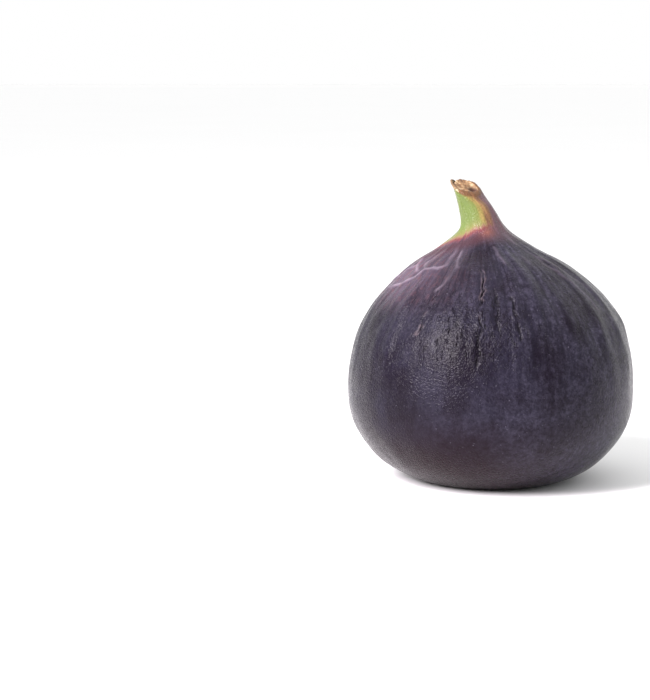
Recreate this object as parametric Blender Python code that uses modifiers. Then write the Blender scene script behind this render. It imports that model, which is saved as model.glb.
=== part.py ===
"""A fresh black fig, whole, standing on its flattened base.

A fig grows in one piece: the pear-shaped body, the neck and the stump of its stalk are one skin, and at
the base that skin folds in to a small closed eye, the ostiole. It is one solid here. Its outline is turned
about +Z, then moved point by point into what grew: shoulder ribs that fade downwards, a neck that leans,
and a stalk cut across at a slant.

Metres, +Z up. The origin is the centre of the fig's box, on the surface that it stands on.
"""

import math

import bpy
from mathutils import Vector

MM = 0.001

# The base: a level ring where the soft skin has settled, round the dimple of the eye.
SEAT_RADIUS = 14.0 * MM
EYE_RADIUS = 3.4 * MM
EYE_DEPTH = 1.3 * MM
EYE_STEPS = 3

# The outline above the seat, as (radius, height) in millimetres, base to stalk.
OUTLINE_MM = (
    (21.5, 3.8),
    (26.8, 10.5),
    (28.3, 17.5),
    (27.3, 26.5),
    (23.5, 35.0),
    (16.0, 42.2),
    (9.3, 46.2),
    (4.9, 49.6),
    (3.6, 53.5),
    (2.85, 57.7),
)
POINTS_PER_SPAN = 4
SIDE_TOP = OUTLINE_MM[-1][1] * MM
CUT_ROUNDING = 0.5 * MM

# The neck leans towards -X, more and more with height.
LEAN = 5.05 * MM
LEAN_FROM = 37.0 * MM

# The stalk was cut across at a slant: its face rises towards the lean, -X, and towards the back, +Y.
CUT_SLOPE_X = -0.25
CUT_SLOPE_Y = 0.42
CUT_FROM = 54.0 * MM

# Ribs run down from the neck and are lost in the body's widest part.
RIBS = 13
RIB_RELIEF = 0.22 * MM
RIB_WANDER = 0.35
RIBS_TOP = 50.0 * MM
RIBS_CREST = 40.0 * MM
RIBS_FOOT = 14.0 * MM

SEGMENTS = RIBS * 5
MERGE_WITHIN = 0.00001

SKIN_COLOUR = (0.035, 0.028, 0.048, 1.0)
SKIN_ROUGHNESS = 0.5


def clear_scene():
    for obj in list(bpy.data.objects):
        bpy.data.objects.remove(obj, do_unlink=True)


def smooth_step(low, high, value):
    t = min(1.0, max(0.0, (value - low) / (high - low)))
    return t * t * (3.0 - 2.0 * t)


def smooth_line(points, per_span):
    """A Catmull-Rom spline through points, its ends included. The first and last only steer it."""
    line = []
    for a, b, c, d in zip(points, points[1:], points[2:], points[3:]):
        for step in range(per_span):
            t = step / per_span
            line.append(
                0.5
                * (
                    2.0 * b
                    + (c - a) * t
                    + (2.0 * a - 5.0 * b + 4.0 * c - d) * t * t
                    + (3.0 * b - 3.0 * c + d - a) * t**3
                )
            )
    line.append(points[-2])
    return line


def outline():
    """The turned profile as (radius, height), from the axis at the cut down to the axis in the eye."""
    seat_edge = Vector((SEAT_RADIUS, 0.0))
    along_floor = Vector((SEAT_RADIUS / 2.0, 0.0))
    knots = [Vector(point) * MM for point in OUTLINE_MM]
    beyond_cut = 2.0 * knots[-1] - knots[-2]
    side = smooth_line([along_floor, seat_edge, *knots, beyond_cut], POINTS_PER_SPAN)

    top = side[-1] + Vector((-CUT_ROUNDING, CUT_ROUNDING))
    centre_of_cut = Vector((0.0, top.y))
    quarter_turn = [math.pi / 2.0 * step / EYE_STEPS for step in range(EYE_STEPS + 1)]
    eye = [Vector((EYE_RADIUS * math.cos(turn), EYE_DEPTH * math.sin(turn))) for turn in quarter_turn]
    return [centre_of_cut, top, *reversed(side), *eye]


def turned_body():
    """The outline turned about +Z by a Screw modifier, as a plain mesh."""
    profile = outline()
    line = bpy.data.meshes.new("fig_outline")
    line.from_pydata(
        [(point.x, 0.0, point.y) for point in profile],
        [(i, i + 1) for i in range(len(profile) - 1)],
        [],
    )
    turned = bpy.data.objects.new("fig_turned", line)
    bpy.context.scene.collection.objects.link(turned)
    screw = turned.modifiers.new("Turn", "SCREW")
    screw.axis = "Z"
    screw.angle = 2.0 * math.pi
    screw.steps = SEGMENTS
    screw.render_steps = SEGMENTS
    screw.use_merge_vertices = True
    screw.merge_threshold = MERGE_WITHIN

    graph = bpy.context.evaluated_depsgraph_get()
    body = bpy.data.meshes.new_from_object(turned.evaluated_get(graph), depsgraph=graph)
    bpy.data.objects.remove(turned, do_unlink=True)
    bpy.data.meshes.remove(line)
    return body


def rib_relief(angle, height):
    """How far the skin stands out of the turned outline: rounded ribs with narrower furrows between them."""
    wander = RIB_WANDER * math.sin(angle + 0.6)
    wave = abs(math.cos(0.5 * RIBS * angle + wander))
    fade = smooth_step(RIBS_FOOT, RIBS_CREST, height) * (1.0 - smooth_step(RIBS_CREST, RIBS_TOP, height))
    return RIB_RELIEF * (2.0 * wave - 1.0) * fade


def as_grown(point):
    """Where a point of the turned body lies on the fig: ribs first, then the slanting cut, then the lean."""
    radius = math.hypot(point.x, point.y)
    if radius > 0.0:
        swell = 1.0 + rib_relief(math.atan2(point.y, point.x), point.z) / radius
    else:
        swell = 1.0
    cut_share = smooth_step(CUT_FROM, SIDE_TOP, point.z)
    lean_share = max(0.0, point.z - LEAN_FROM) / (SIDE_TOP - LEAN_FROM)
    return Vector(
        (
            point.x * swell - LEAN * lean_share**2,
            point.y * swell,
            point.z + cut_share * (CUT_SLOPE_X * point.x + CUT_SLOPE_Y * point.y),
        )
    )


def centre_on_origin(mesh):
    """Slides the mesh level until the origin is in the middle of its box."""
    middle = [
        (min(v.co[axis] for v in mesh.vertices) + max(v.co[axis] for v in mesh.vertices)) / 2.0
        for axis in (0, 1)
    ]
    for vertex in mesh.vertices:
        vertex.co.x -= middle[0]
        vertex.co.y -= middle[1]


def skin_material():
    skin = bpy.data.materials.new("skin")
    skin.use_nodes = True
    shader = skin.node_tree.nodes["Principled BSDF"]
    shader.inputs["Base Color"].default_value = SKIN_COLOUR
    shader.inputs["Roughness"].default_value = SKIN_ROUGHNESS
    shader.inputs["Metallic"].default_value = 0.0
    return skin


def make_fig(collection):
    body = turned_body()
    for vertex in body.vertices:
        vertex.co = as_grown(vertex.co)
    centre_on_origin(body)
    body.shade_smooth()
    body.materials.append(skin_material())
    body.name = "fig"
    collection.objects.link(bpy.data.objects.new("fig", body))


def main():
    clear_scene()
    collection = bpy.data.collections.new("fresh_fig")
    bpy.context.scene.collection.children.link(collection)
    make_fig(collection)


main()
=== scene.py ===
"""The looks of a fresh black fig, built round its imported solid.

The solid's plain skin is replaced by one dense closed mesh, fig_skin, that follows the same outline. The
ribs and veins from the neck, the cracks in the shoulder, small wrinkles, the slanting cut of the stalk and
the dimple of the eye are all in its shape. A dried flap of bark at the cut and the scales of the eye are
pieces of their own.

Lengths in this file are in millimetres, and angles on the fig are in degrees round its axis: 0 faces the
camera (-Y), and 90 is its right (+X).
"""

import math

import bpy
import numpy as np
from mathutils import Matrix, Vector, noise


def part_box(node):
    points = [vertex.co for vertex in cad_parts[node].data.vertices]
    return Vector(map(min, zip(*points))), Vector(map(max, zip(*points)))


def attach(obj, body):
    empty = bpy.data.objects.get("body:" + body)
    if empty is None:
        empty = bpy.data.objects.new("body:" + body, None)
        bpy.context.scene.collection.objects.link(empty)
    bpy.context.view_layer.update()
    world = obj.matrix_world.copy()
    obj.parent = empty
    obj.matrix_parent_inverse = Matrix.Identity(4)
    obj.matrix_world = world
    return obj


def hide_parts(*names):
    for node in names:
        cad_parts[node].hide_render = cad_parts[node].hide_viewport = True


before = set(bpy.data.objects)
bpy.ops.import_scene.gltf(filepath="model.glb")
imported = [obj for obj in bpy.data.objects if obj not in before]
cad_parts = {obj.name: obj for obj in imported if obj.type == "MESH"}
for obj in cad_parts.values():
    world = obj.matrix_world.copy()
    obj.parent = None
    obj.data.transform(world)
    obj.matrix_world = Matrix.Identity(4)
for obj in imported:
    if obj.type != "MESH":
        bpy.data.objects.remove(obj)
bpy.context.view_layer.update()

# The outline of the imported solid, as (radius, height), from the seat's edge to the stalk's cut.
SEAT_RADIUS = 14.0
EYE_RADIUS = 3.4
EYE_DEPTH = 1.3
OUTLINE = (
    (21.5, 3.8),
    (26.8, 10.5),
    (28.3, 17.5),
    (27.3, 26.5),
    (23.5, 35.0),
    (16.0, 42.2),
    (9.3, 46.2),
    (4.9, 49.6),
    (3.6, 53.5),
    (2.85, 57.7),
)
SIDE_TOP = OUTLINE[-1][1]
WAIST = 25.0
NECK_FOOT = 46.0
LEAN = 5.05
LEAN_FROM = 37.0
CUT_FROM = 54.0
CUT_SLOPE_X = 0.25
CUT_SLOPE_Y = 0.42
LIP_ROUNDING = 0.45

# One millimetre of this file in the frame's metres: the widest ring fits the solid's box.
FIG_LOW, FIG_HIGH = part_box("fig")
MM = (FIG_HIGH.y - FIG_LOW.y) / (2.0 * max(radius for radius, height in OUTLINE))

# How many rings of points each stretch of the outline has.
EYE_RINGS = 12
SEAT_RINGS = 12
BODY_RINGS = 52
SHOULDER_RINGS = 92
NECK_RINGS = 44
LIP_RINGS = 5
CUT_RINGS = 14

# Cracks and furrows in the shoulder's skin: their (height, angle) points, depth, width, and the dryness of
# their lips.
CRACKS = (
    (
        (
            (43.0, -6.4), (41.8, -4.2), (40.6, -5.2), (39.4, -3.8), (38.4, -5.8), (37.0, -4.6),
            (36.2, -6.2), (35.2, -5.2),
        ),
        0.4,
        0.16,
        0.6,
    ),
    (((35.0, -5.4), (33.2, -4.2), (31.0, -5.6), (28.5, -4.6), (26.0, -5.6)), 0.34, 0.2, 0.0),
    (
        (
            (39.5, -32.0), (38.4, -31.0), (37.2, -32.5), (36.0, -31.0), (34.6, -33.0),
            (33.0, -32.0), (31.5, -33.5),
        ),
        0.3,
        0.17,
        0.9,
    ),
    (((40.0, 2.0), (36.9, 3.2), (34.7, 2.8), (32.6, 3.4)), 0.3, 0.3, 0.0),
    (((38.5, 10.6), (35.5, 11.2), (33.4, 12.0), (31.0, 12.4)), 0.3, 0.3, 0.0),
    (((37.5, -15.0), (36.0, -14.0), (33.5, -14.5)), 0.2, 0.28, 0.0),
    (((41.0, 128.0), (36.0, 131.0), (31.0, 130.0)), 0.28, 0.17, 0.6),
    (((42.0, -146.0), (37.0, -148.0), (30.0, -145.0)), 0.3, 0.17, 0.6),
)
DEEPEST_CRACK = 0.4
CRACK_JAGS = 0.45

# Raised veins that branch from the neck over the shoulder: their (height, angle) points and strength.
VEINS = (
    (
        (
            (50.0, -30.0), (47.2, -40.0), (46.3, -42.0), (44.8, -39.0), (43.8, -37.0),
            (43.0, -42.0), (42.5, -54.0),
        ),
        0.75,
    ),
    (
        ((42.5, -54.0), (41.5, -57.0), (39.8, -65.0), (38.2, -78.0), (36.0, -88.0), (33.0, -92.0)),
        0.8,
    ),
    (
        ((49.0, -62.0), (47.2, -63.0), (45.6, -56.0), (44.5, -59.0), (43.4, -60.0), (42.5, -55.0)),
        0.55,
    ),
    (((47.5, -80.0), (46.0, -81.0), (44.5, -81.0), (42.9, -70.0), (42.0, -62.0)), 0.7),
    (((42.9, -70.0), (41.0, -82.0), (38.0, -97.0)), 0.6),
    (
        (
            (46.0, -31.0), (44.6, -30.0), (43.4, -25.0), (42.5, -28.0), (41.5, -29.0),
            (40.4, -30.5), (39.3, -32.5),
        ),
        0.45,
    ),
    (((46.5, 10.0), (45.0, 13.0), (44.0, 14.0)), 0.2),
    (
        (
            (52.0, 47.0), (47.6, 50.0), (45.4, 54.0), (43.6, 52.0), (40.7, 58.0), (38.0, 60.0),
            (34.7, 61.0),
        ),
        0.25,
    ),
    (((45.4, 54.0), (43.0, 62.0), (41.0, 64.0), (38.5, 71.0), (34.0, 75.0), (29.0, 76.0)), 0.35),
    (((51.0, 72.0), (46.0, 78.0), (43.0, 84.0), (39.2, 81.0), (35.6, 84.0), (31.0, 85.0)), 0.5),
    (((47.0, 34.0), (44.5, 37.0), (42.0, 36.0), (40.5, 41.0)), 0.2),
    (((47.0, 112.0), (43.0, 118.0), (38.0, 116.0), (33.0, 121.0)), 0.35),
    (((47.0, 150.0), (42.0, 155.0), (37.0, 152.0)), 0.3),
    (((47.0, -165.0), (43.0, -170.0), (36.0, -166.0)), 0.3),
    (((47.0, -128.0), (42.0, -131.0), (37.0, -126.0)), 0.35),
)
VEIN_RISE = 0.22
VEIN_WIDTH = 0.34


def smooth_step(low, high, value):
    share = np.clip((value - low) / (high - low), 0.0, 1.0)
    return share * share * (3.0 - 2.0 * share)


def hump(offset):
    """1 at 0, falling smoothly to nothing about two units away."""
    return np.exp(-offset * offset)


def turn_between(angle, centre):
    """The turn from centre to angle, from -180 to 180 degrees."""
    return (angle - centre + 180.0) % 360.0 - 180.0


def smooth_line(points, per_span):
    """A Catmull-Rom line through points. The first and last only steer it."""
    points = np.array(points, float)
    t = np.linspace(0.0, 1.0, per_span, endpoint=False)[:, None]
    spans = []
    for a, b, c, d in zip(points, points[1:], points[2:], points[3:]):
        bend = (2.0 * a - 5.0 * b + 4.0 * c - d) * t**2
        twist = (3.0 * b - 3.0 * c + d - a) * t**3
        spans.append(0.5 * (2.0 * b + (c - a) * t + bend + twist))
    return np.vstack([*spans, points[-2:-1]])


def evenly_spaced(line, count):
    """The same line with count points at equal steps."""
    steps = np.hypot(*np.diff(line, axis=0).T)
    run = np.concatenate([[0.0], np.cumsum(steps)])
    at = np.linspace(0.0, run[-1], count)
    return np.column_stack([np.interp(at, run, line[:, axis]) for axis in (0, 1)])


def quarter_arc(count):
    turn = np.linspace(0.0, math.pi / 2.0, count)
    return np.sin(turn), np.cos(turn)


def outline_rings():
    """(radius, height) of each ring of points, from the axis in the eye to the axis in the stalk's cut."""
    side_in, side_up = quarter_arc(EYE_RINGS)
    eye = np.column_stack([EYE_RADIUS * side_in, EYE_DEPTH * side_up])
    seat = evenly_spaced(np.array([(EYE_RADIUS, 0.0), (SEAT_RADIUS, 0.0)]), SEAT_RINGS)
    along_floor = (SEAT_RADIUS / 2.0, 0.0)
    beyond_cut = 2.0 * np.array(OUTLINE[-1]) - np.array(OUTLINE[-2])
    side = smooth_line([along_floor, (SEAT_RADIUS, 0.0), *OUTLINE, beyond_cut], 60)
    at_waist, at_neck = np.searchsorted(side[:, 1], (WAIST, NECK_FOOT))
    body = evenly_spaced(side[: at_waist + 1], BODY_RINGS)
    shoulder = evenly_spaced(side[at_waist : at_neck + 1], SHOULDER_RINGS)
    neck = evenly_spaced(side[at_neck:], NECK_RINGS)
    lip_out, lip_up = quarter_arc(LIP_RINGS)
    lip_centre = neck[-1] - (LIP_ROUNDING, 0.0)
    lip = lip_centre + LIP_ROUNDING * np.column_stack([lip_up, lip_out])
    cut = np.column_stack([np.linspace(lip[-1, 0], 0.0, CUT_RINGS), np.full(CUT_RINGS, lip[-1, 1])])
    return np.vstack([eye, seat[1:], body[1:], shoulder[1:], neck[1:], lip[1:], cut[1:]])


RINGS = outline_rings()
FIRST_LIP_RING = len(RINGS) - (LIP_RINGS - 1) - (CUT_RINGS - 1)
FIRST_CUT_RING = len(RINGS) - (CUT_RINGS - 1)
OUTLINE_RADII, OUTLINE_HEIGHTS = RINGS[EYE_RINGS + SEAT_RINGS - 2 : FIRST_LIP_RING].T


def outward_normals():
    """Each ring's outward direction, as (radial, upward)."""
    along = np.gradient(RINGS, axis=0)
    along /= np.linalg.norm(along, axis=1)[:, None]
    return along[:, 1], -along[:, 0]


def on_outline(angle, height):
    """Points on the turned outline at these angles and heights."""
    radius = np.interp(height, OUTLINE_HEIGHTS, OUTLINE_RADII)
    turn = np.radians(angle)
    return np.stack([radius * np.sin(turn), -radius * np.cos(turn), height + 0.0 * turn], axis=-1)


def distance_to_path(places, path):
    """How far each place is from a line of (height, angle) points, in millimetres."""
    knots = [on_outline(angle, height) for height, angle in path]
    nearest = np.full(places.shape[:-1], np.inf)
    for start, end in zip(knots, knots[1:]):
        along = end - start
        share = np.clip((places - start) @ along / (along @ along), 0.0, 1.0)
        gap = np.linalg.norm(places - start - share[..., None] * along, axis=-1)
        nearest = np.minimum(nearest, gap)
    return nearest


# Noise vectors change with the clock unless they are seeded. This keeps the cracks and veins the same.
WANDER_SEED = 21
noise.seed_set(WANDER_SEED)


def wandered(places, reach, rate, seed):
    """The places moved by smooth noise, so that lines drawn over them wander and jag."""
    shift = Vector((seed, 0.0, 0.0))
    moves = [noise.noise_vector(Vector(place) * rate + shift) for place in places.reshape(-1, 3)]
    return places + reach * np.array(moves).reshape(places.shape)


# Columns of points: about a degree apart, and gathered close where the cracks run.
COLUMN_STEP = 1.06
GATHERED_STEP = 0.24
GATHERED_AT = (-31.0, -4.8, 3.0, 11.4, 130.0, -146.5)
GATHERED_REACH = 1.9


def angle_grid():
    """The angle of every point: the same columns at each ring."""
    evenly = np.arange(-180.0, 180.0, COLUMN_STEP)
    nearest = np.min([np.abs(turn_between(evenly, centre)) for centre in GATHERED_AT], axis=0)
    apart = evenly[nearest > GATHERED_REACH + 0.3]
    offsets = [(centre - GATHERED_REACH, centre + GATHERED_REACH) for centre in GATHERED_AT]
    close = [np.arange(start, end, GATHERED_STEP) for start, end in offsets]
    columns = np.unique(np.round(np.concatenate([apart, *close]), 6))
    return np.tile(columns, (len(RINGS), 1))


def noise_grid(angle, height, across, along, seed):
    """Smooth noise on the fig, about -1 to 1. Higher across or along makes its lumps smaller that way."""
    turn = np.radians(angle)
    spots = np.stack([across * np.sin(turn), across * np.cos(turn), along * height + 0.0 * turn], axis=-1)
    spots += seed * np.array([17.3, 5.1, 9.7])
    values = [noise.fractal(spot, 1.0, 2.0, 3) for spot in spots.reshape(-1, 3).tolist()]
    return np.array(values).reshape(angle.shape)


def crack_masks(angle, height):
    """How deep in a crack each point is, and how far on a crack's dry lip, both from 0 to 1."""
    places = wandered(on_outline(angle, height), CRACK_JAGS, 0.8, 5.0)
    broken = 0.3 + 0.7 * smooth_step(-0.35, 0.05, noise_grid(angle, height, 3.0, 0.55, 6))
    worn = smooth_step(-0.1, 0.3, noise_grid(angle, height, 3.0, 0.5, 7))
    depth = np.zeros_like(angle)
    lips = np.zeros_like(angle)
    for path, deep, width, dryness in CRACKS:
        gap = distance_to_path(places, path)
        share = deep / DEEPEST_CRACK * broken
        depth = np.maximum(depth, share * hump(gap / width))
        lips = np.maximum(lips, share * worn * dryness * hump((gap - 2.0 * width) / (0.8 * width)))
    return depth, lips


def vein_mask(angle, height):
    """How far each point is up on a raised vein, from 0 to 1."""
    places = wandered(on_outline(angle, height), 0.5, 0.45, 9.0)
    fade = smooth_step(-0.6, 0.3, noise_grid(angle, height, 2.0, 0.2, 14))
    raised = np.zeros_like(angle)
    for path, strength in VEINS:
        raised = np.maximum(raised, fade * strength * hump(distance_to_path(places, path) / VEIN_WIDTH))
    return raised


# Broad ribs, each the same at every build because the draws are seeded.
RIB_COUNT = 21
RIB_TOP = 48.5
rib_draws = np.random.default_rng(11)
RIBS = [
    {
        "centre": -180.0 + 360.0 * (number + rib_draws.uniform(-0.3, 0.3)) / RIB_COUNT,
        "rise": rib_draws.uniform(0.15, 0.4),
        "width": rib_draws.uniform(3.0, 5.5),
        "foot": rib_draws.uniform(14.0, 27.0),
    }
    for number in range(RIB_COUNT)
]
RIB_MEAN = 0.2


def rib_relief(angle, height):
    """Broad ribs from the neck's foot, lost at different heights below, and sunk skin between them."""
    wander = 4.0 * noise_grid(angle * 0.25, height, 1.0, 0.05, 8)
    below_neck = 1.0 - smooth_step(43.0, RIB_TOP, height)
    relief = -RIB_MEAN * smooth_step(24.0, 38.0, height) * below_neck
    for rib in RIBS:
        fade = smooth_step(rib["foot"], rib["foot"] + 14.0, height) * below_neck
        offset = turn_between(angle, rib["centre"] + wander)
        relief = relief + rib["rise"] * fade * hump(offset / rib["width"])
    return relief


def neck_relief(angle, height):
    """Shallow flutes up the neck, the hollow of its inner bend, and one small bead."""
    on_neck = smooth_step(46.0, 50.0, height)
    flutes = 0.05 * np.cos(np.radians(7.0 * angle + 40.0)) + 0.09 * noise_grid(angle, height, 2.5, 0.3, 9)
    hollow = 0.3 * hump(turn_between(angle, -90.0) / 50.0) * hump((height - 51.5) / 3.0)
    bead = 0.2 * hump(turn_between(angle, 16.0) / 6.0) * hump((height - 52.3) / 1.1)
    return on_neck * flutes - hollow + bead


def fissured(angle, height):
    """Where the shoulder's skin is finely crazed: patches in a band, the largest of them at the front."""
    band = smooth_step(22.0, 30.0, height) * (1.0 - smooth_step(36.0, 42.0, height))
    patches = smooth_step(-0.1, 0.35, noise_grid(angle, height, 2.2, 0.07, 31))
    front = hump(turn_between(angle, -8.0) / 26.0)
    return band * np.maximum(front, 0.5 * patches)


def skin_relief(angle, height):
    """How far the skin stands out of the outline, and the masks that its colours need."""
    crack, lips = crack_masks(angle, height)
    vein = vein_mask(angle, height)
    crazed = fissured(angle, height)
    lumps = 0.3 * noise_grid(angle, height, 1.6, 0.05, 1)
    folded = smooth_step(14.0, 34.0, height) * (1.0 - smooth_step(42.0, 48.0, height))
    folds = 0.18 * noise_grid(angle, height, 9.0, 0.12, 2) * folded
    pucker = 0.2 * crazed * (0.3 - np.abs(noise_grid(angle, height, 13.0, 0.35, 3)))
    corner = 0.35 * hump(turn_between(angle, 85.0) / 25.0) * hump((height - 31.0) / 2.5)
    relief = lumps + folds + pucker + corner + rib_relief(angle, height) + neck_relief(angle, height)
    relief = relief + VEIN_RISE * vein + 0.08 * lips - DEEPEST_CRACK * crack
    masks = {"crack": crack, "crack_lips": lips, "vein": vein, "fissured": crazed}
    return relief * smooth_step(0.2, 5.0, height), masks


HOLLOW_ACROSS = 1.15
HOLLOW_SIZE = 0.95


def in_hollow(angle, radius):
    """1 in the small hollow at the right of the stalk's cut, falling to 0 round it."""
    turn = np.radians(angle)
    across = (radius * np.sin(turn) - HOLLOW_ACROSS) / HOLLOW_SIZE
    towards = radius * np.cos(turn) / HOLLOW_SIZE
    return hump(np.hypot(across, towards))


def cut_relief(angle, radius):
    """The face of the cut, below its lip: dry and uneven, with its hollow."""
    turn = np.radians(angle)
    face = -0.12 * (1.0 - smooth_step(1.6, 2.4, radius))
    spots = np.stack([radius * np.sin(turn), radius * np.cos(turn), 4.0 + 0.0 * turn], axis=-1) * 1.3
    rough = [noise.fractal(spot, 1.0, 2.0, 3) for spot in spots.reshape(-1, 3).tolist()]
    return face - 1.1 * in_hollow(angle, radius) + 0.16 * np.array(rough).reshape(angle.shape)


def as_grown(points):
    """Slants the stalk's cut, then leans the neck. It changes points in place."""
    height = points[..., 2].copy()
    cut_share = smooth_step(CUT_FROM, SIDE_TOP, height)
    points[..., 2] += cut_share * (CUT_SLOPE_Y * points[..., 1] - CUT_SLOPE_X * points[..., 0])
    lean_share = np.clip((height - LEAN_FROM) / (SIDE_TOP - LEAN_FROM), 0.0, None)
    points[..., 0] -= LEAN * lean_share**2


def skin_points(angle):
    """Every point of the skin, ring by ring, and the masks that its colours need."""
    radius = RINGS[:, :1]
    height = RINGS[:, 1:]
    ring = np.arange(len(RINGS))[:, None]
    relief, masks = skin_relief(angle, height)
    relief = np.where(ring < FIRST_CUT_RING, relief, 0.0)
    cut = np.where(ring < FIRST_CUT_RING, 0.0, cut_relief(angle, radius))
    lip_wear = np.where(ring < FIRST_LIP_RING - 3, 0.0, 0.13 * noise_grid(angle, height, 1.5, 0.0, 12))
    radial, upward = outward_normals()
    grown_radius = np.maximum(radius + relief * radial[:, None], 0.0)
    turn = np.radians(angle)
    grown_height = height + relief * upward[:, None] + lip_wear + cut
    points = np.stack([grown_radius * np.sin(turn), -grown_radius * np.cos(turn), grown_height], axis=-1)
    as_grown(points)
    return points, masks


# The edges of the neck's green: the angle at a height, or the height at an angle.
GREEN_RIGHT_EDGE = ((44.0, -70.0), (49.0, -8.0), (50.7, 26.0), (53.5, 42.0), (56.0, 45.0), (58.5, 34.0))
GREEN_LEFT_EDGE = ((44.0, -104.0), (48.0, -150.0), (54.0, -175.0), (59.0, -150.0))
GREEN_LOWEST = (
    (-180.0, 51.5),
    (-130.0, 48.0),
    (-95.0, 45.0),
    (-60.0, 47.3),
    (-40.0, 48.6),
    (0.0, 49.8),
    (25.0, 50.6),
)


def green_masks(angle, height, radius):
    """How far into the neck's green each point is, and 1 where its nearest edge is the lower one."""
    right = np.radians(np.interp(height, *zip(*GREEN_RIGHT_EDGE)) - angle) * np.maximum(radius, 2.0)
    left = np.radians(angle - np.interp(height, *zip(*GREEN_LEFT_EDGE))) * np.maximum(radius, 2.0)
    above = 1.2 * (height - np.interp(angle, *zip(*GREEN_LOWEST)))
    sides = np.minimum(right, left)
    return np.minimum(sides, above), smooth_step(-1.0, 1.0, sides - above)


def colour_masks(angle, height, radius):
    """Where each of the skin's tints lies, from 0 to 1, apart from green_depth, which is in millimetres.
    The pale coat's mask holds painted light on the right side and painted shade at the lower left, and the
    wine red holds painted shade at the lower left and the bottom.
    """
    green_depth, green_foot = green_masks(angle, height, radius)
    # Painted shade: the lower left is darkened with wine red and a thinner pale coat.
    low_left_shade = hump(turn_between(angle, -20.0) / 55.0) * (1.0 - smooth_step(4.0, 19.0, height))
    patches = 0.5 + 0.5 * noise_grid(angle, height, 1.7, 0.06, 21)
    # Painted light: the pale coat is made thicker towards the right side, so that side is lighter.
    right_light = 0.5 + 0.5 * np.sin(np.radians(angle))
    upper = smooth_step(25.0, 45.0, height)
    # The pale coat: its own patches and more of it towards the top, painted light on the right side, and
    # painted shade where it is thinned at the lower left.
    bloom_and_painted_light = 0.1 + 0.4 * patches + 1.7 * right_light**2 + 0.35 * upper - 0.4 * low_left_shade
    return {
        "green_depth": green_depth,
        "green_foot": green_foot,
        "glow": hump(turn_between(angle, 7.0) / 17.0) * hump((height - 50.0) / 1.3),
        "red_foot": 0.8 * hump((green_depth + 1.5) / 1.4) * green_foot,
        "green_shade": 0.6 * hump(turn_between(angle, -78.0) / 26.0) * smooth_step(50.0, 57.0, height),
        "mauve": smooth_step(46.5, 52.0, height),
        "lilac": hump(turn_between(angle, -80.0) / 42.0) * smooth_step(33.0, 41.0, height),
        "streaky": smooth_step(10.0, 32.0, height),
        # Wine red, partly the skin's own tint and partly painted shade, at the lower left and the bottom.
        "wine_and_painted_shade": np.clip(low_left_shade + 0.25 * (1.0 - smooth_step(0.0, 10.0, height)), 0.0, 1.0),
        "bloom_and_painted_light": np.clip(bloom_and_painted_light, 0.0, 1.6),
        "dry": smooth_step(SIDE_TOP - 0.5, SIDE_TOP + 0.05, height),
        # Where the cut is painted darker brown: its hollow.
        "hollow_darkening": in_hollow(angle, radius),
    }


def grid_faces(rings, columns):
    """The (ring, column) corners of each face: quads, with triangles at the poles, facing outwards."""
    low, high = 0, rings - 1
    faces = [[(low, c + 0.5), (1, c + 1), (1, c)] for c in range(columns)]
    for ring in range(1, rings - 2):
        faces += [[(ring, c), (ring, c + 1), (ring + 1, c + 1), (ring + 1, c)] for c in range(columns)]
    faces += [[(high, c + 0.5), (high - 1, c), (high - 1, c + 1)] for c in range(columns)]
    return faces


def corner_index(corner, rings, columns):
    """Which point of the mesh a (ring, column) corner is: the first and last ring are one point each."""
    ring, column = corner
    if ring == 0:
        return 0
    if ring == rings - 1:
        return 1 + (rings - 2) * columns
    return 1 + (ring - 1) * columns + column % columns


def lay_out(mesh, faces, columns):
    """The skin rolled out flat for baking: across is once round the fig, and up follows its outline."""
    steps = np.hypot(*np.diff(RINGS, axis=0).T)
    up = np.concatenate([[0.0], np.cumsum(steps)]) / steps.sum()
    flat = [(column / columns, up[ring]) for face in faces for ring, column in face]
    mesh.uv_layers.new(name="OFBake").data.foreach_set("uv", np.array(flat, np.float32).ravel())


# The radius at which the "around" attribute, which the streaks follow to the neck, counts in millimetres.
AROUND_RADIUS = 25.0


def with_poles(grid):
    """A grid's values as the mesh holds them: the first and last ring are one point each."""
    inner = grid[1:-1].reshape(-1, *grid.shape[2:])
    return np.concatenate([grid[0, :1], inner, grid[-1, :1]])


def store(mesh, name, kind, grid):
    """Keeps one value, or one vector, for each point of the mesh."""
    layer = mesh.attributes.new(name, kind, "POINT")
    values = with_poles(grid).astype(np.float32).ravel()
    layer.data.foreach_set("vector" if kind == "FLOAT_VECTOR" else "value", values)


def make_skin():
    angle = angle_grid()
    points, masks = skin_points(angle)
    faces = grid_faces(*angle.shape)
    indices = [[corner_index(corner, *angle.shape) for corner in face] for face in faces]
    mesh = bpy.data.meshes.new("fig_skin")
    mesh.from_pydata((with_poles(points) * MM).tolist(), [], indices)
    lay_out(mesh, faces, angle.shape[1])
    masks.update(colour_masks(turn_between(angle, 0.0), RINGS[:, 1:], RINGS[:, :1]))
    for name, grid in masks.items():
        store(mesh, name, "FLOAT", np.broadcast_to(grid, angle.shape))
    turn = np.radians(angle)
    around = np.stack([np.sin(turn), -np.cos(turn), RINGS[:, 1:] / AROUND_RADIUS + 0.0 * turn], axis=-1)
    store(mesh, "around", "FLOAT_VECTOR", around * AROUND_RADIUS)
    mesh.shade_smooth()
    mesh.materials.append(skin_material())
    mesh.materials.append(cut_material())
    first_cut_face = angle.shape[1] * FIRST_CUT_RING
    slots = (np.arange(len(faces)) >= first_cut_face).astype(np.int32)
    mesh.polygons.foreach_set("material_index", slots)
    return add_piece("fig_skin", mesh)


def add_piece(name, mesh):
    """A piece of the fig, riding with it and standing for the solid."""
    piece = bpy.data.objects.new(name, mesh)
    bpy.context.scene.collection.objects.link(piece)
    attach(piece, "root")
    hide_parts("fig")
    return piece


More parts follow.
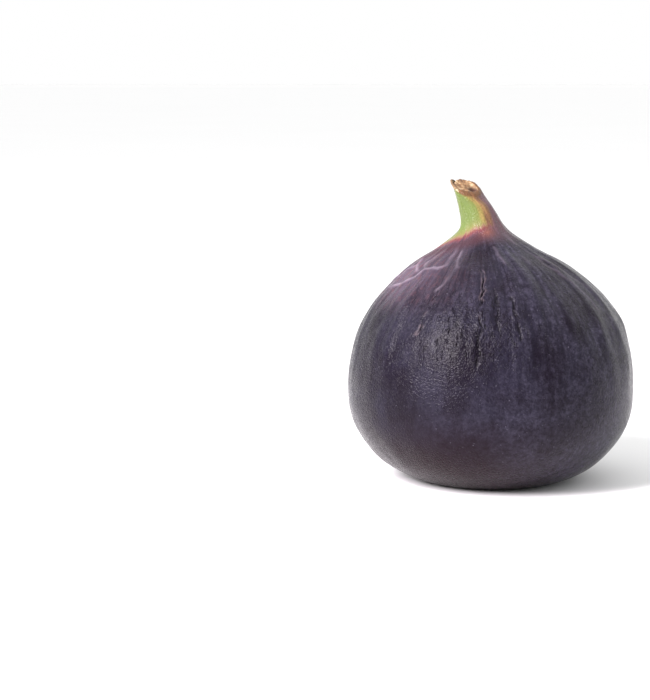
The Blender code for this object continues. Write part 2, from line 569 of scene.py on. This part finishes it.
def sheet_faces(rows, columns, first=0):
    """Quads over a grid of points whose first point has the index first."""
    corners = [first + r * columns + c for r in range(rows - 1) for c in range(columns - 1)]
    return [(corner, corner + 1, corner + columns + 1, corner + columns) for corner in corners]


def thicken(piece, thickness):
    """Gives a thin piece an even thickness and rounds it."""
    solid = piece.modifiers.new("Thickness", "SOLIDIFY")
    solid.thickness = thickness * MM
    solid.offset = 0.0
    rounded = piece.modifiers.new("Rounded", "SUBSURF")
    rounded.levels = 2
    rounded.render_levels = 2


# The flap of dried bark on the cut's rim: where it stands, and the (outward, upward) points of its section.
FLAP_FROM = -122.0
FLAP_TO = -24.0
FLAP_CURL = ((-0.5, -0.45), (0.05, -0.5), (0.2, -0.1), (0.22, 0.35), (0.0, 0.68), (-0.4, 0.62))


def make_flap():
    """A curled flap of bark that the knife left on the left of the stalk's cut."""
    share = np.linspace(0.0, 1.0, 13)[:, None]
    outward, upward = np.array(FLAP_CURL).T[:, None, :]
    stand = np.sin(math.pi * share) ** 0.5 * (1.0 + 0.2 * np.sin(9.0 * share))
    turn = np.radians(FLAP_FROM + (FLAP_TO - FLAP_FROM) * share)
    radius = OUTLINE[-1][0] - 0.5 + (outward + 0.5) * stand
    height = SIDE_TOP - 0.1 + (upward + 0.3) * stand
    points = np.stack([radius * np.sin(turn), -radius * np.cos(turn), height], axis=-1)
    as_grown(points)
    mesh = bpy.data.meshes.new("stalk_flap")
    mesh.from_pydata((points.reshape(-1, 3) * MM).tolist(), [], sheet_faces(*height.shape))
    edge = mesh.attributes.new("edge", "FLOAT", "POINT")
    across_section = np.linspace(0.0, 1.0, len(FLAP_CURL), dtype=np.float32)
    edge.data.foreach_set("value", np.tile(across_section, len(share)))
    mesh.shade_smooth()
    mesh.materials.append(flap_material())
    thicken(add_piece("stalk_flap", mesh), 0.14)


# Rings of scales in the eye: how many, the (radius, height) of their roots and tips, and their half width.
EYE_SCALES = (
    (11, (3.05, 0.5), (1.35, 0.42), 0.85),
    (9, (2.3, 0.85), (0.75, 0.62), 0.75),
    (6, (1.5, 1.05), (0.15, 0.8), 0.6),
)
SCALE_ROWS = 7
SCALE_COLUMNS = 5


def scale_points(root, tip, half_width, turn):
    """One scale of the eye: a small pointed leaf from root to tip, arched across."""
    along = np.linspace(0.0, 1.0, SCALE_ROWS)[:, None]
    across = np.linspace(-1.0, 1.0, SCALE_COLUMNS)[None, :]
    radius = root[0] + (tip[0] - root[0]) * along + 0.0 * across
    side = half_width * across * np.sqrt(1.0 - along**2) * (0.8 + 0.5 * along)
    height = root[1] + (tip[1] - root[1]) * along + 0.22 * across**2 - 0.1 * np.sin(math.pi * along)
    x = radius * math.sin(turn) + side * math.cos(turn)
    y = -radius * math.cos(turn) + side * math.sin(turn)
    return np.stack([x, y, height], axis=-1)


def make_eye_scales():
    """The closed eye at the base: rings of small scales that overlap towards the middle."""
    points = []
    faces = []
    for ring, (count, root, tip, half_width) in enumerate(EYE_SCALES):
        for number in range(count):
            turn = 2.0 * math.pi * (number + 0.4 * ring) / count
            lifted = (root[0], root[1] + 0.08 * (number % 2))
            faces += sheet_faces(SCALE_ROWS, SCALE_COLUMNS, len(points))
            points += scale_points(lifted, tip, half_width, turn).reshape(-1, 3).tolist()
    mesh = bpy.data.meshes.new("eye_scales")
    mesh.from_pydata((np.array(points) * MM).tolist(), [], faces)
    mesh.shade_smooth()
    mesh.materials.append(scale_material())
    thicken(add_piece("eye_scales", mesh), 0.12)


class Nodes:
    """Short ways to add to a node tree."""

    def __init__(self, owner):
        """owner is a new material or world."""
        owner.use_nodes = True
        self.tree = owner.node_tree

    def add(self, kind, inputs=(), **settings):
        node = self.tree.nodes.new(kind)
        for key, value in settings.items():
            setattr(node, key, value)
        for socket, value in dict(inputs).items():
            self.feed(node.inputs[socket], value)
        return node

    def feed(self, socket, value):
        if isinstance(value, bpy.types.NodeSocket):
            self.tree.links.new(value, socket)
        elif isinstance(value, tuple) and len(value) == 3 and socket.type == "RGBA":
            socket.default_value = (*value, 1.0)
        else:
            socket.default_value = value

    def attribute(self, name):
        node = self.add("ShaderNodeAttribute", attribute_name=name)
        return node.outputs["Vector"] if name == "around" else node.outputs["Fac"]

    def object_place(self):
        return self.add("ShaderNodeTexCoord").outputs["Object"]

    def stretched(self, place, scale):
        """place, with its axes scaled."""
        return self.add("ShaderNodeMapping", {"Vector": place, "Scale": scale}).outputs["Vector"]

    def noise(self, place, scale, detail=2.0, roughness=0.5):
        inputs = {"Vector": place, "Scale": scale, "Detail": detail, "Roughness": roughness}
        return self.add("ShaderNodeTexNoise", inputs).outputs["Fac"]

    def cells(self, place, scale, feature):
        return self.add("ShaderNodeTexVoronoi", {"Vector": place, "Scale": scale}, feature=feature)

    def math(self, operation, first, second=0.0, clamp=False):
        node = self.add("ShaderNodeMath", operation=operation, use_clamp=clamp)
        self.feed(node.inputs[0], first)
        self.feed(node.inputs[1], second)
        return node.outputs[0]

    def spread(self, value, low, high, to_low=0.0, to_high=1.0):
        """value from low to high, smoothly to 0 to 1 or to the given ends."""
        inputs = {"Value": value, "From Min": low, "From Max": high, "To Min": to_low, "To Max": to_high}
        return self.add("ShaderNodeMapRange", inputs, interpolation_type="SMOOTHSTEP").outputs["Result"]

    def mix(self, factor, first, second):
        node = self.add("ShaderNodeMix", data_type="RGBA")
        self.feed(node.inputs[0], factor)
        self.feed(node.inputs[6], first)
        self.feed(node.inputs[7], second)
        return node.outputs[2]

    def ramp(self, value, *stops):
        """A smooth row of colours, each stop (place from 0 to 1, colour)."""
        node = self.add("ShaderNodeValToRGB", {"Fac": value})
        elements = node.color_ramp.elements
        while len(elements) < len(stops):
            elements.new(0.5)
        for element, (place, colour) in zip(elements, stops):
            element.position = place
            element.color = (*colour, 1.0)
        return node.outputs["Color"]

    def bump(self, height, distance, below=None):
        inputs = {"Height": height, "Distance": distance, "Strength": 1.0}
        if below is not None:
            inputs["Normal"] = below
        return self.add("ShaderNodeBump", inputs).outputs["Normal"]


RIPE_DARK = (0.004, 0.002, 0.006)
RIPE_BLUE = (0.009, 0.0075, 0.015)
BLOOM = (0.2, 0.18, 0.27)
BLOOM_SHARE = 0.07
# Dark wine red: partly the skin's own tint, partly painted shade at the lower left and the bottom.
WINE_AND_SHADE = (0.01, 0.002, 0.004)
RUSSET = (0.1, 0.04, 0.045)
LILAC = (0.09, 0.065, 0.095)
VEIN = (0.45, 0.37, 0.45)
CRACK = (0.002, 0.001, 0.002)
DRY_LIP = (0.2, 0.15, 0.16)
LENTICEL = (0.22, 0.21, 0.26)
MAUVE = (0.13, 0.07, 0.08)
FOOT = (0.045, 0.018, 0.025)
GLOW = (0.2, 0.07, 0.045)
BARK = (0.12, 0.06, 0.03)
HOLLOW = (0.05, 0.016, 0.006)
GREEN_STREAK = (0.21, 0.2, 0.11)
GREEN_SHADE = (0.12, 0.15, 0.035)
NECK_SIDE_STOPS = (
    (0.0, (0.13, 0.07, 0.07)),
    (0.25, (0.14, 0.075, 0.04)),
    (0.36, (0.16, 0.085, 0.045)),
    (0.48, (0.22, 0.145, 0.055)),
    (0.66, (0.22, 0.17, 0.055)),
    (0.85, (0.145, 0.16, 0.043)),
    (1.0, (0.105, 0.145, 0.04)),
)
NECK_FOOT_STOPS = (
    (0.0, (0.07, 0.03, 0.05)),
    (0.25, (0.13, 0.035, 0.04)),
    (0.4, (0.18, 0.11, 0.07)),
    (0.6, (0.15, 0.15, 0.05)),
    (1.0, (0.11, 0.15, 0.044)),
)


def ripe_skin_colour(nodes, place, around):
    """Purple-black skin under its pale waxy coat: streaks down from the neck, patches and a fine mottle,
    with the coat thickened as painted light on the right side and thinned as painted shade at the lower
    left.
    """
    streaks = nodes.noise(nodes.stretched(around, (1.0, 1.0, 0.25)), 0.9, 4.0, 0.65)
    patches = nodes.noise(place, 110.0, 4.0, 0.6)
    mottle = nodes.noise(place, 1100.0, 5.0, 0.85)
    blotches = nodes.noise(nodes.stretched(around, (1.0, 1.0, 0.6)), 1.5, 4.0, 0.7)
    ground = nodes.mix(nodes.spread(patches, 0.35, 0.65), RIPE_DARK, RIPE_BLUE)
    # The wine red at the lower left and the bottom is partly painted shade.
    ground = nodes.mix(nodes.math("MULTIPLY", nodes.attribute("wine_and_painted_shade"), 0.85), ground, WINE_AND_SHADE)
    bare = nodes.spread(streaks, 0.34, 0.62, 0.95, 0.0)
    streaked = nodes.math("MULTIPLY", nodes.attribute("streaky"), bare)
    # This mask holds the pale coat's own patches, painted light on the right side and painted shade at the
    # lower left.
    cover = nodes.math("MULTIPLY", nodes.attribute("bloom_and_painted_light"), nodes.math("SUBTRACT", 1.0, streaked))
    cover = nodes.math("MULTIPLY", cover, nodes.spread(patches, 0.3, 0.7, 0.5, 1.15))
    cover = nodes.math("MULTIPLY", cover, nodes.spread(mottle, 0.36, 0.7, 0.1, 2.1))
    bloomed = nodes.mix(nodes.math("MULTIPLY", cover, BLOOM_SHARE, clamp=True), ground, BLOOM)
    lilac = nodes.math("MULTIPLY", nodes.attribute("lilac"), nodes.spread(streaks, 0.3, 0.7, 0.45, 1.0))
    russet = nodes.math("MULTIPLY", nodes.attribute("lilac"), nodes.spread(blotches, 0.5, 0.64, 0.0, 0.75))
    colour = nodes.mix(russet, nodes.mix(lilac, bloomed, LILAC), RUSSET)
    dark = nodes.math("MULTIPLY", nodes.attribute("fissured"), nodes.spread(blotches, 0.4, 0.48, 0.85, 0.0))
    return nodes.mix(dark, colour, RIPE_DARK)


def lenticel_mask(nodes, place):
    """Tiny pale pores, scattered at uneven sizes."""
    cells = nodes.cells(place, 1000.0, "F1")
    size = nodes.math("MULTIPLY", cells.outputs["Color"], 0.13)
    return nodes.math("LESS_THAN", cells.outputs["Distance"], size)


def fissure_mask(nodes, around):
    """Fine upright cracks, broken up, where the skin is crazed."""
    upright = nodes.noise(nodes.stretched(around, (1.0, 1.0, 0.2)), 0.75, 3.0, 0.6)
    ridge = nodes.math("ABSOLUTE", nodes.math("SUBTRACT", upright, 0.5))
    gaps = nodes.spread(nodes.noise(around, 0.9, 2.0), 0.42, 0.58)
    lines = nodes.math("MULTIPLY", nodes.spread(ridge, 0.0, 0.02, 1.0, 0.0), gaps)
    return nodes.math("MULTIPLY", lines, nodes.attribute("fissured"))


def neck_colour(nodes, around, colour):
    """The neck over the ripe skin's colour: mauve at its right, green at its left, red at its foot."""
    fine = nodes.noise(nodes.stretched(around, (1.0, 1.0, 0.06)), 2.0, 4.0, 0.65)
    colour = nodes.mix(nodes.math("MULTIPLY", nodes.attribute("mauve"), 0.85), colour, MAUVE)
    colour = nodes.mix(nodes.attribute("red_foot"), colour, FOOT)
    glow = nodes.math("MULTIPLY", nodes.attribute("glow"), nodes.spread(fine, 0.3, 0.7, 0.5, 1.0))
    colour = nodes.mix(glow, colour, GLOW)
    edge = nodes.noise(nodes.stretched(around, (1.0, 1.0, 0.3)), 0.5, 3.0)
    depth = nodes.math("ADD", nodes.attribute("green_depth"), nodes.spread(edge, 0.2, 0.8, -0.4, 0.4))
    share = nodes.spread(depth, -1.4, 3.6)
    side = nodes.ramp(share, *NECK_SIDE_STOPS)
    foot = nodes.ramp(share, *NECK_FOOT_STOPS)
    green = nodes.mix(nodes.attribute("green_foot"), side, foot)
    green = nodes.mix(nodes.attribute("green_shade"), green, GREEN_SHADE)
    green = nodes.mix(nodes.spread(fine, 0.5, 0.75, 0.0, 0.4), green, GREEN_STREAK)
    return nodes.mix(nodes.spread(depth, -1.1, 0.1), colour, green)


SKIN_SPECULAR = 0.105
SKIN_SHEEN = 0.005
SKIN_SHEEN_ROUGHNESS = 0.4


def skin_material():
    """Ripe skin with its pores, veins, cracks and neck, and a fine net of wrinkles in its gloss."""
    material = bpy.data.materials.new("fig_skin")
    nodes = Nodes(material)
    shader = nodes.tree.nodes["Principled BSDF"]
    place = nodes.object_place()
    around = nodes.attribute("around")
    fissures = fissure_mask(nodes, around)
    colour = ripe_skin_colour(nodes, place, around)
    colour = nodes.mix(nodes.math("MULTIPLY", lenticel_mask(nodes, place), 0.25), colour, LENTICEL)
    colour = nodes.mix(nodes.math("MULTIPLY", nodes.attribute("vein"), 0.38), colour, VEIN)
    colour = neck_colour(nodes, around, colour)
    colour = nodes.mix(nodes.math("MULTIPLY", nodes.attribute("crack_lips"), 0.5), colour, DRY_LIP)
    colour = nodes.mix(nodes.math("MULTIPLY", fissures, 0.8), colour, CRACK)
    colour = nodes.mix(nodes.attribute("crack"), colour, CRACK)
    colour = nodes.mix(nodes.attribute("dry"), colour, BARK)
    nodes.feed(shader.inputs["Base Color"], colour)

    mottle = nodes.noise(place, 900.0, 3.0)
    nodes.feed(shader.inputs["Roughness"], nodes.spread(mottle, 0.3, 0.7, 0.14, 0.29))
    from_edge = nodes.cells(place, 1700.0, "DISTANCE_TO_EDGE").outputs["Distance"]
    net = nodes.spread(from_edge, 0.0, 0.3, 1.0, 0.0)
    leather = nodes.noise(place, 2000.0, 4.0, 0.75)
    normal = nodes.bump(net, 0.035 * MM)
    normal = nodes.bump(leather, 0.075 * MM, normal)
    normal = nodes.bump(fissures, -0.15 * MM, normal)
    nodes.feed(shader.inputs["Normal"], normal)
    shader.inputs["Specular IOR Level"].default_value = SKIN_SPECULAR
    shader.inputs["Sheen Weight"].default_value = SKIN_SHEEN
    shader.inputs["Sheen Roughness"].default_value = SKIN_SHEEN_ROUGHNESS
    return material


CUT_STOPS = (
    (0.36, (0.09, 0.04, 0.016)),
    (0.5, (0.22, 0.12, 0.05)),
    (0.68, (0.44, 0.33, 0.2)),
)


def cut_material():
    """The stalk's dried cut: tan wood, with a darker hollow."""
    material = bpy.data.materials.new("stalk_cut")
    nodes = Nodes(material)
    shader = nodes.tree.nodes["Principled BSDF"]
    place = nodes.object_place()
    fibres = nodes.noise(place, 900.0, 4.0, 0.6)
    colour = nodes.ramp(fibres, *CUT_STOPS)
    # The cut is darker brown in its hollow.
    colour = nodes.mix(nodes.spread(nodes.attribute("hollow_darkening"), 0.1, 0.6), colour, HOLLOW)
    nodes.feed(shader.inputs["Base Color"], colour)
    nodes.feed(shader.inputs["Roughness"], nodes.spread(fibres, 0.3, 0.7, 0.6, 0.8))
    nodes.feed(shader.inputs["Normal"], nodes.bump(fibres, 0.15 * MM))
    return material


# The cream stops are partly the bark's pale colour and partly a painted highlight on its lower face.
FLAP_BARK_AND_HIGHLIGHT_STOPS = (
    (0.0, (0.3, 0.26, 0.13)),
    (0.45, (0.45, 0.38, 0.23)),
    (0.62, (0.17, 0.1, 0.045)),
    (1.0, (0.1, 0.055, 0.025)),
)


def flap_material():
    """Dried bark: cream where it stands on the rim, its pale bark with a painted highlight on it, and brown
    along its curled edge.
    """
    material = bpy.data.materials.new("stalk_flap")
    nodes = Nodes(material)
    shader = nodes.tree.nodes["Principled BSDF"]
    grain = nodes.noise(nodes.object_place(), 1800.0, 4.0, 0.6)
    share = nodes.math("ADD", nodes.attribute("edge"), nodes.spread(grain, 0.3, 0.7, -0.15, 0.15))
    colour = nodes.ramp(share, *FLAP_BARK_AND_HIGHLIGHT_STOPS)
    nodes.feed(shader.inputs["Base Color"], colour)
    nodes.feed(shader.inputs["Roughness"], nodes.spread(grain, 0.3, 0.7, 0.6, 0.8))
    nodes.feed(shader.inputs["Normal"], nodes.bump(grain, 0.1 * MM))
    return material


SCALE_DARK = (0.11, 0.035, 0.03)
SCALE_PALE = (0.3, 0.15, 0.1)


def scale_material():
    """The eye's scales: dry, russet, and paler in the grain."""
    material = bpy.data.materials.new("eye_scales")
    nodes = Nodes(material)
    shader = nodes.tree.nodes["Principled BSDF"]
    grain = nodes.noise(nodes.object_place(), 1500.0, 4.0, 0.6)
    colour = nodes.mix(nodes.spread(grain, 0.4, 0.65), SCALE_DARK, SCALE_PALE)
    nodes.feed(shader.inputs["Base Color"], colour)
    nodes.feed(shader.inputs["Roughness"], nodes.spread(grain, 0.3, 0.7, 0.55, 0.75))
    nodes.feed(shader.inputs["Normal"], nodes.bump(grain, 0.08 * MM))
    return material


# The view: a long lens a little above the fig, panned so that the fig stands at the right of the frame.
LENS = 100.0
SENSOR = 36.0
CAMERA_DISTANCE = 0.3889
CAMERA_ELEVATION = math.radians(8.0)
CAMERA_PAN = math.radians(4.92)
AIM_HEIGHT = 0.0253


def make_camera():
    camera_data = bpy.data.cameras.new("camera")
    camera_data.lens = LENS
    camera_data.sensor_width = SENSOR
    camera = bpy.data.objects.new("camera", camera_data)
    bpy.context.scene.collection.objects.link(camera)
    back = Vector((0.0, -math.cos(CAMERA_ELEVATION), math.sin(CAMERA_ELEVATION)))
    aim = Vector((0.0, 0.0, AIM_HEIGHT))
    camera.rotation_mode = "QUATERNION"
    camera.location = aim + CAMERA_DISTANCE * back
    pan = Matrix.Rotation(CAMERA_PAN, 3, "Z").to_quaternion()
    camera.rotation_quaternion = pan @ (-back).to_track_quat("-Z", "Y")
    bpy.context.scene.camera = camera


# Half the side of the floor, in metres.
FLOOR_REACH = 20.0


def make_floor():
    mesh = bpy.data.meshes.new("floor")
    around = ((-1.0, -1.0), (1.0, -1.0), (1.0, 1.0), (-1.0, 1.0))
    corners = [(x * FLOOR_REACH, y * FLOOR_REACH, 0.0) for x, y in around]
    mesh.from_pydata(corners, [], [(0, 1, 2, 3)])
    material = bpy.data.materials.new("floor")
    nodes = Nodes(material)
    shader = nodes.tree.nodes["Principled BSDF"]
    shade = nodes.noise(nodes.object_place(), 3.0, 2.0)
    nodes.feed(shader.inputs["Base Color"], nodes.mix(shade, (0.86, 0.86, 0.86), (0.88, 0.88, 0.88)))
    shader.inputs["Roughness"].default_value = 0.7
    mesh.materials.append(material)
    floor = bpy.data.objects.new("floor", mesh)
    bpy.context.scene.collection.objects.link(floor)


# The least pink, so that the highlight on the blue skin is not greenish.
SOFTBOX_TINT = (1.0, 0.93, 0.98)


def make_softbox(name, azimuth, elevation, distance, width, height, power):
    """An oblong light aimed at the fig. Azimuth 0 is on the camera's side, and 90 is at the fig's right."""
    light = bpy.data.lights.new(name, "AREA")
    light.shape = "RECTANGLE"
    light.size = width
    light.size_y = height
    light.energy = power
    light.color = SOFTBOX_TINT
    box = bpy.data.objects.new(name, light)
    turn, lift = math.radians(azimuth), math.radians(elevation)
    out = Vector((math.sin(turn) * math.cos(lift), -math.cos(turn) * math.cos(lift), math.sin(lift)))
    box.location = Vector((0.0, 0.0, AIM_HEIGHT)) + out * distance
    box.rotation_mode = "QUATERNION"
    box.rotation_quaternion = out.to_track_quat("Z", "Y")
    bpy.context.scene.collection.objects.link(box)


def make_surroundings():
    """Light from above and behind, less from the right, little from the front. The camera sees white."""
    world = bpy.data.worlds.new("studio")
    nodes = Nodes(world)
    outwards = nodes.add("ShaderNodeTexCoord").outputs["Generated"]
    direction = nodes.add("ShaderNodeSeparateXYZ", {0: outwards})
    ceiling = nodes.spread(direction.outputs["Z"], 0.0, 0.7, 0.0, 1.0)
    back = nodes.spread(direction.outputs["Y"], -0.1, 0.6, 0.0, 0.95)
    right = nodes.spread(direction.outputs["X"], 0.0, 0.9, 0.0, 0.4)
    light = nodes.math("ADD", nodes.math("MAXIMUM", ceiling, back), nodes.math("ADD", right, 0.12))
    seen = nodes.add("ShaderNodeLightPath").outputs["Is Camera Ray"]
    strength = nodes.mix(seen, light, (1.0, 1.0, 1.0))
    nodes.feed(nodes.tree.nodes["Background"].inputs["Color"], strength)
    bpy.context.scene.world = world
    bpy.context.scene.view_settings.view_transform = "Standard"


def make_studio():
    make_camera()
    make_floor()
    make_surroundings()
    make_softbox("key", azimuth=-46.0, elevation=34.0, distance=0.6, width=0.17, height=0.34, power=9.8)


make_skin()
make_flap()
make_eye_scales()
make_studio()
